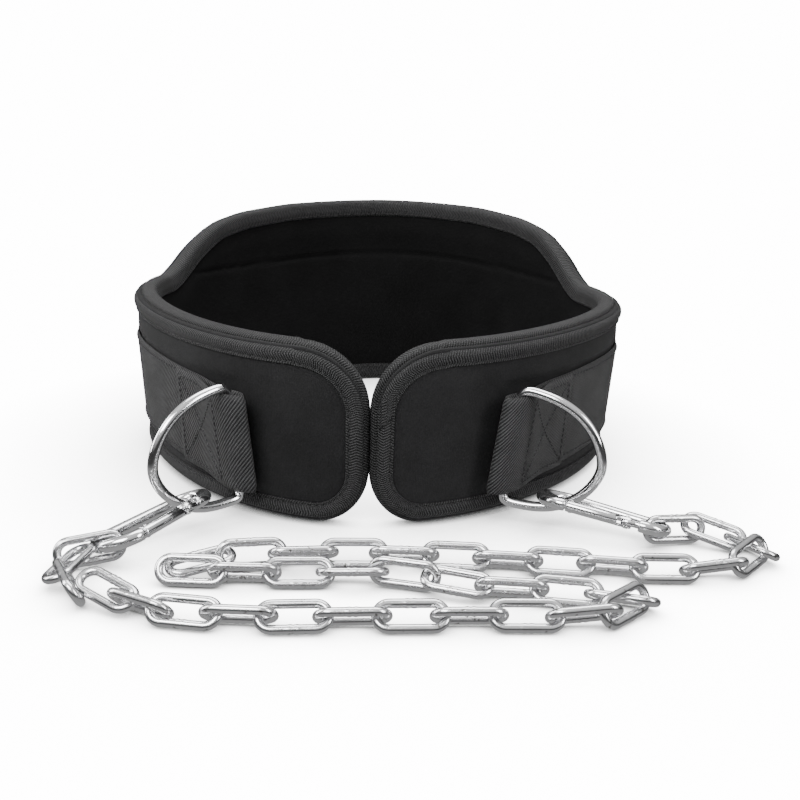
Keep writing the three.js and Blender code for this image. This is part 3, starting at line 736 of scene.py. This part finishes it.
def on_leg(ring, side, away, shares, folded):
    """Points across the strap, away from a ring's bar. The folded leg lies over the other one."""
    place = ring["round"] + side * away
    height = strap_foot(away) + shares * STRAP_WIDTH
    bar = ring["bar"] + ((shares - 0.5) * STRAP_WIDTH)[:, None] * ring["up"]
    near = float(ease(1 - away / LIFT_RUN))
    lying = belt(place, FACE + folded * (STRAP_THICK + GAP), height)
    travel = belt(place, 0, height) - belt(ring["round"], 0, height)
    raised = bar + travel + outwards(ring["round"]) * (folded * 2 - 1) * BEND
    points = lying + (raised - lying) * near
    points[:, 2] = height
    return points


def leg(ring, side, folded, aways):
    return [on_leg(ring, side, away, STRAP_SHARES, folded) for away in aways]


def fold(ring, side):
    """The strap's turn round the bar, drawn out towards the belt's end."""
    normal = outwards(ring["round"])
    along = np.array([-normal[1], normal[0], 0]) * -side
    bar = ring["bar"] + ((STRAP_SHARES - 0.5) * STRAP_WIDTH)[:, None] * ring["up"]
    result = []
    for turn in np.radians(np.linspace(4, 176, 15)):
        points = bar + normal * math.cos(turn) * BEND + along * math.sin(turn) * BEND * FOLD_REACH
        points[:, 2] = FOLD_FOOT + STRAP_SHARES * STRAP_WIDTH
        result.append(points)
    return result


def strap_line():
    left, right = ring_frames
    legs = np.linspace(0, 1, 24) * FOLD_RUN
    rise = np.linspace(0, 1, 16) * LIFT_RUN
    places = np.linspace(right["round"] + LIFT_RUN, ROUND + left["round"] - LIFT_RUN, 260)[1:-1]
    middle = []
    for s in places:
        away = min(s - right["round"], ROUND + left["round"] - s)
        middle.append(belt(s, FACE, strap_foot(away) + STRAP_SHARES * STRAP_WIDTH))
    right_end = leg(right, 1, 1, legs[::-1]) + fold(right, 1) + leg(right, 1, 0, rise)
    left_end = leg(left, -1, 0, rise[::-1]) + fold(left, -1)[::-1] + leg(left, -1, 1, legs)
    return np.array(right_end + middle + left_end)


strap = strap_line()
run = np.gradient(strap, axis=0)
normals = np.stack([run[..., 1], -run[..., 0], np.zeros(run.shape[:2])], -1)
normals /= np.linalg.norm(normals, axis=2)[..., None]
thin = STRAP_THICK / 2 * (0.25 + 0.75 * ease(np.minimum(STRAP_SHARES, 1 - STRAP_SHARES) / 0.03))
face_out = strap + normals * thin[None, :, None]
face_in = strap - normals * thin[None, :, None]
rows = np.concatenate([face_out, face_in[:, ::-1]], axis=1)
band = grid("webbing_band", rows, run_lengths(strap[:, 7]), run_lengths(rows[len(rows) // 2], True))
settle(band, "belt", "webbing_strap", webbing)


# Box and cross of stitches where the folded ends are sewn down, and lines along the strap's edges.
def strap_stitches(name, ring, side, marks):
    points = []
    out = []
    for away, share in marks:
        away_from_belt = outwards(ring["round"] + side * away)
        on_strap = on_leg(ring, side, away, np.array([share]), 1)[0]
        points.append(on_strap + away_from_belt * STRAP_THICK / 2)
        out.append(away_from_belt)
    return settle(stitches(name, points, out, 2.4, 2.9, 0.8, 0.05), "belt", None, thread)


def ruler(a, b, steps=26):
    return [(a[0] + (b[0] - a[0]) * t, a[1] + (b[1] - a[1]) * t) for t in np.linspace(0, 1, steps)]


for side_name, ring, side in (("left", ring_frames[0], -1), ("right", ring_frames[1], 1)):
    near = 9.0
    far = FOLD_RUN - 3
    low = 0.07
    high = 0.93
    box = [
        ((far, low), (far, high)),
        ((near, low), (near, high)),
        ((near, low), (far, low)),
        ((near, high), (far, high)),
        ((near, low), (far, high)),
        ((near, high), (far, low)),
    ]
    for i, (a, b) in enumerate(box):
        strap_stitches(f"{side_name}_box_stitches_{i + 1}", ring, side, ruler(a, b))

places = np.linspace(RINGS[1][1] + FOLD_RUN + 4, ROUND + RINGS[0][1] - FOLD_RUN - 4, 240)
for name, share in (("low", 0.06), ("high", 0.94)):
    points = [belt(s, OUTER + GAP + STRAP_THICK, STRAP_FOOT + share * STRAP_WIDTH) for s in places]
    out = [outwards(s) for s in places]
    seam = stitches(f"strap_edge_stitches_{name}", points, out, 2.6, 3.2, 0.7, 0.05)
    settle(seam, "belt", None, thread)


# Spring hooks: two arcs of wire with straight sides, in a plane of their own. X runs from the hinge end to
# the nose end.
BIG = (HOOK_WIDE - HOOK_WIRE) / 2
SMALL = (HOOK_NARROW - HOOK_WIRE) / 2
SPAN = HOOK_LENGTH - HOOK_WIRE - BIG - SMALL
SLOPE = math.asin((BIG - SMALL) / SPAN)
BIG_TOUCH = np.array([SPAN + BIG * math.sin(SLOPE), BIG * math.cos(SLOPE), 0])
SMALL_TOUCH = np.array([SMALL * math.sin(SLOPE), SMALL * math.cos(SLOPE), 0])
GATE_RUN = (BIG_TOUCH - SMALL_TOUCH) / np.linalg.norm(BIG_TOUCH - SMALL_TOUCH)
NOSE = BIG_TOUCH - GATE_RUN * NOSE_RUN
HINGE = NOSE - GATE_RUN * (GATE_LENGTH + NOSE_CLEAR)
UP = np.array([0, 0, 1.0])
ACROSS = np.array([-GATE_RUN[1], GATE_RUN[0], 0])
WIRE_END = [2.3, 2.7, 2.95]          # radius of the wire towards its rounded end
TONGUE = 2.6                         # half the width of the flat tongue that the gate turns on
CHEEK_INSIDE = 1.65                  # half the slot in the gate, which takes the tongue


def placed(points, hook):
    return np.asarray(points) @ hook["turn"].T + hook["origin"]


def hook_frame(ring_index, along, across, heading, drop, lean, nose_first):
    ring = ring_frames[ring_index]
    held = on_ring(ring, *bow(along))
    turn = math.radians(heading)
    fall = math.radians(drop)
    lean = math.radians(lean)
    away = np.array([math.cos(turn) * math.cos(fall), math.sin(turn) * math.cos(fall), -math.sin(fall)])
    level = np.cross(UP, away)
    level /= np.linalg.norm(level)
    rise = np.cross(away, level)
    towards = -level if level[1] > 0 else level
    y = towards * math.cos(lean) + rise * math.sin(lean)
    x = -away if nose_first else away
    z = np.cross(x, y)
    past = on_ring(ring, *bow(along + 0.01)) - held
    slant = abs(float(np.dot(past / np.linalg.norm(past), z)))
    inside = (RING_WIRE / 2 + HOOK_WIRE / 2 + GAP) / slant + RING_PLAY
    seat = SPAN + BIG - inside if nose_first else inside - SMALL
    return {"turn": np.stack([x, y, z], 1), "origin": held - x * seat - y * across}


def hook_pieces(name, hook):
    arcs = []
    tilt = math.degrees(SLOPE)
    for t in np.radians(np.linspace(90 - tilt, -90 + tilt, 36)):
        arcs.append((SPAN + math.cos(t) * BIG, math.sin(t) * BIG, 0))
    for t in np.radians(np.linspace(-90 + tilt, -270 - tilt, 32)):
        arcs.append((math.cos(t) * SMALL, math.sin(t) * SMALL, 0))
    start = [tuple(NOSE + GATE_RUN * d) for d in (0.0, 0.25, 0.7, 1.3)]
    reach = max(float(np.linalg.norm(HINGE - SMALL_TOUCH)) - 5.8, 1)
    neck = [tuple(SMALL_TOUCH + GATE_RUN * (reach - d)) for d in (1.2, 0.6, 0.2, 0.0)]
    path = np.array(start + arcs[:-1] + neck)
    radius = np.full(len(path), HOOK_WIRE / 2)
    radius[:3] = WIRE_END
    radius[-3:] = WIRE_END[::-1]
    rows = wire_rows(path, UP, radius, 22, False)
    body = grid(name, placed(rows, hook), run_lengths(path), np.arange(23) * 0.86)
    rounded = [(math.cos(t) * TONGUE, math.sin(t) * TONGUE) for t in np.radians(np.linspace(-90, 90, 14))]
    outline = [(-8, TONGUE), (-8, -TONGUE)] + rounded
    rows = []
    for height, grow in ((-1.3, -0.25), (-1.1, 0), (1.1, 0), (1.3, -0.25)):
        row = []
        for a, b in outline:
            along = a + grow * np.sign(a + 1)
            row.append(HINGE + GATE_RUN * along + ACROSS * (b * (1 + grow / 3)) + UP * height)
        rows.append(row)
    tongue = grid(name + "_tongue", placed(rows, hook), np.arange(4), np.arange(len(outline) + 1))
    return join(name, [body, tongue])


def gate_pieces(name, hook):
    """The gate: a rod, two cheeks beside the hook's tongue, and the heads of its two rivets."""
    half = GATE_WIRE / 2
    sides = 24
    turn = (np.arange(sides) + 0.5) / sides * 2 * math.pi
    rod = [
        # distance from the hinge, radius
        (4.4, half * 0.80),
        (4.6, half * 0.95),
        (5.0, half),
        (GATE_LENGTH * 0.5, half),
        (GATE_LENGTH - 1.2, half),
        (GATE_LENGTH - 0.4, half * 0.96),
        (GATE_LENGTH, half * 0.82),
    ]
    ring = np.cos(turn)[:, None] * ACROSS + np.sin(turn)[:, None] * UP
    rows = [HINGE + GATE_RUN * a + ring * r for a, r in rod]
    parts = [grid(name + "_rod", placed(rows, hook), [a for a, r in rod], np.arange(sides + 1) * 0.73)]
    section = []
    for t in np.linspace(-1, 1, 13):
        y = half * math.sin(t * math.acos(CHEEK_INSIDE / half))
        section.append((y, math.sqrt(max(half * half - y * y, CHEEK_INSIDE * CHEEK_INSIDE))))
    section += [(section[-1][0], CHEEK_INSIDE), (section[0][0], CHEEK_INSIDE)]
    around = np.arange(len(section) + 1)
    for cheek in (1, -1):
        rows = []
        for a, size in ((-2.6, 0.72), (-2.3, 0.9), (-1.6, 1.0), (5.6, 1.0)):
            row = []
            for y, z in section:
                out = CHEEK_INSIDE + (z - CHEEK_INSIDE) * size
                row.append(HINGE + GATE_RUN * a + ACROSS * y * size + UP * cheek * out)
            rows.append(row)
        parts.append(grid(f"{name}_cheek{cheek}", placed(rows, hook), np.arange(4), around))
    ring = np.cos(turn)[:, None] * ACROSS + np.sin(turn)[:, None] * GATE_RUN
    for place, size in ((0.0, 1.25), (GATE_LENGTH - 2.4, 0.8)):
        heads = [(half - 0.5, size), (half + 0.02, size), (half + 0.22, size * 0.8), (half + 0.3, size * 0.3)]
        for face in (1, -1):
            rows = placed([HINGE + GATE_RUN * place + UP * face * h + ring * r for h, r in heads], hook)
            parts.append(grid(f"{name}_rivet{face}_{size}", rows, np.arange(4), np.arange(sides + 1)))
    return join(name, parts)


for name, *rest in HOOKS:
    hook = hook_frame(*rest)
    settle(hook_pieces(name + "_hook_wire", hook), "belt", name + "_hook_body", plated)
    gate = gate_pieces(name + "_hook_gate_rod", hook)
    settle(gate, name + "_gate", name + "_hook_gate", plated)


# Chain links: round wire with a weld in the middle of one long side.
NO_WELD = 9.0            # a distance from the weld at which the wire is plain


def link_path():
    """The link's middle line in its own plane, and each point's distance from the weld."""
    radius = (LINK_WIDTH - LINK_WIRE) / 2
    straight = (LINK_LENGTH - LINK_WIDTH) / 2
    points = []
    weld = []
    for end in (1, -1):
        for t in np.radians(np.linspace(-90, 90, 17)):
            points.append((end * (straight + math.cos(t) * radius), end * math.sin(t) * radius))
            weld.append(NO_WELD)
        for x in np.linspace(1, -1, 15)[1:-1]:
            points.append((end * x * straight, end * radius))
            weld.append(abs(x) * straight if end < 0 else NO_WELD)
    return np.array(points), np.array(weld)


LINK_POINTS, WELD = link_path()
LINK_REST = (LINK_WIDTH - LINK_WIRE) / 2 * math.sin(math.radians(45)) + LINK_WIRE / 2
bead = 1 + 0.12 * np.exp(-((WELD - 0.9) / 0.75) ** 2) - 0.06 * np.exp(-(WELD / 0.45) ** 2)
for i in range(LINK_COUNT):
    x, y, up, heading, tip, twist = (float(np.interp(i + 1, ROUTE[:, 0], ROUTE[:, k])) for k in range(1, 7))
    turn = math.radians(heading)
    tip = math.radians(tip)
    roll = math.radians((-45 if i % 2 == 0 else 45) + twist)
    run = np.array([math.cos(turn) * math.cos(tip), math.sin(turn) * math.cos(tip), math.sin(tip)])
    level = np.cross(UP, run)
    level /= np.linalg.norm(level)
    across = level * math.cos(roll) + np.cross(run, level) * math.sin(roll)
    middle = np.array([x, y, LINK_REST + up])
    path = middle + LINK_POINTS[:, :1] * run + LINK_POINTS[:, 1:] * across
    # Every third link has its weld on the other side.
    turned = i % 3 == 0
    radius = LINK_WIRE / 2 * (np.roll(bead, len(bead) // 2) if turned else bead)
    piece = wire(f"chain_link_{i + 1:02d}", path, np.cross(run, across), radius, 14)
    settle(piece, "belt", f"link_{i + 1:02d}", zinc)


# Camera, as the photograph's.
camera = bpy.data.objects.new("camera", bpy.data.cameras.new("camera"))
bpy.context.collection.objects.link(camera)
camera.data.sensor_width = 36
camera.data.lens = 51.705
right = Vector((0.99643688, 0.08017772, 0.02617394))
upward = Vector((-0.04706387, 0.27105016, 0.96141396))
back = Vector((0.06998952, -0.95922018, 0.27385785))
place = Vector((0.0313070, -0.6092102, 0.2124620))
camera.matrix_world = Matrix((
    (right.x, upward.x, back.x, place.x),
    (right.y, upward.y, back.y, place.y),
    (right.z, upward.z, back.z, place.z),
    (0, 0, 0, 1),
))
camera.data.clip_start = 0.01
bpy.context.scene.camera = camera


# White floor with painted shadow where the belt stands close, and soft light from all sides.
def plain(name, color, rough):
    n = Nodes(name)
    n.shader.inputs["Base Color"].default_value = (*color, 1)
    n.shader.inputs["Roughness"].default_value = rough
    return n.material


def card(name, size, place, aim, surface):
    mesh = bpy.data.meshes.new(name)
    w = size[0] / 2
    h = size[1] / 2
    mesh.from_pydata([(-w, -h, 0), (w, -h, 0), (w, h, 0), (-w, h, 0)], [], [(0, 1, 2, 3)])
    piece = bpy.data.objects.new(name, mesh)
    bpy.context.collection.objects.link(piece)
    piece.location = place
    piece.rotation_euler = (Vector(aim) - Vector(place)).to_track_quat("-Z", "Y").to_euler()
    piece.data.materials.append(surface)
    piece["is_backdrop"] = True
    return piece


def glowing(name, strength, reach=0.0):
    """A glowing white for what only the camera sees. With a reach, it carries painted shadow: ambient
    occlusion darkens its glow softly where the object is close.
    """
    n = Nodes(name)
    n.shader.inputs["Base Color"].default_value = (0, 0, 0, 1)
    n.shader.inputs["Specular IOR Level"].default_value = 0
    n.shader.inputs["Emission Color"].default_value = (1, 1, 1, 1)
    n.shader.inputs["Emission Strength"].default_value = strength
    if reach:
        # Painted shadow: the glow is dimmed by ambient occlusion near the object, standing in for a cast
        # shadow.
        near = n.add("ShaderNodeAmbientOcclusion", {"Distance": reach}, samples=12)
        painted_shadow_factor = n.math("POWER", near.outputs["AO"], 2.0)
        n.link(n.math("MULTIPLY", painted_shadow_factor, strength), "Emission Strength")
    return n.material


floor = card("floor", (6, 6), (0, 0, -0.001), (0, 0, -1), plain("floor_light", (0.85, 0.85, 0.85), 0.7))
floor.visible_camera = False
floor.visible_glossy = False
bpy.ops.mesh.primitive_uv_sphere_add(segments=32, ring_count=16, radius=6, location=(0, 0, 0))
dome = bpy.context.object
dome.name = "backdrop"
dome.data.materials.append(glowing("backdrop_white", 15))
dome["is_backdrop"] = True
# The floor that the camera sees glows white, with painted shadow round the belt.
below = card("floor_seen", (6, 6), (0, 0, -0.0004), (0, 0, -1), glowing("floor_white_painted_shadow", 15, 0.12))
for piece in (dome, below):
    piece.visible_glossy = False
    piece.visible_diffuse = False
    piece.visible_shadow = False
    piece.visible_transmission = False

world = bpy.data.worlds.new("studio")
bpy.context.scene.world = world
world.use_nodes = True
tree = world.node_tree
height = tree.nodes.new("ShaderNodeSeparateXYZ")
tree.links.new(tree.nodes.new("ShaderNodeTexCoord").outputs["Generated"], height.inputs[0])
share = tree.nodes.new("ShaderNodeMapRange")
share.inputs[1].default_value = -1
tree.links.new(height.outputs[2], share.inputs[0])
sky = tree.nodes.new("ShaderNodeValToRGB")
tree.links.new(share.outputs[0], sky.inputs[0])
tree.links.new(sky.outputs[0], tree.nodes["Background"].inputs[0])
for place, shade in ((0.0, 0.42), (0.34, 0.36), (0.43, 0.07), (0.58, 0.04), (0.70, 0.50), (1.0, 1.1)):
    stop = sky.color_ramp.elements.new(place)
    stop.color = (shade, shade, shade, 1)
sky.color_ramp.elements.remove(sky.color_ramp.elements[0])
sky.color_ramp.elements.remove(sky.color_ramp.elements[-1])
tree.nodes["Background"].inputs[1].default_value = 1.0


def area(name, place, aim, size, watts):
    lamp = bpy.data.lights.new(name, "AREA")
    lamp.shape = "RECTANGLE"
    lamp.size, lamp.size_y = size
    lamp.energy = watts
    piece = bpy.data.objects.new(name, lamp)
    bpy.context.collection.objects.link(piece)
    piece.location = place
    piece.rotation_euler = (Vector(aim) - Vector(place)).to_track_quat("-Z", "Y").to_euler()


area("key", (-0.45, -0.95, 1.05), (0, 0, 0.04), (0.9, 0.5), 22)
area("fill", (0.95, -0.55, 0.6), (0, 0, 0.04), (0.3, 0.7), 9)
area("left", (-1.0, -0.1, 0.5), (0, 0, 0.04), (0.3, 0.8), 8)
area("top", (0.0, 0.3, 1.2), (0, 0, 0.05), (1.0, 0.6), 14)

low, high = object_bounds()
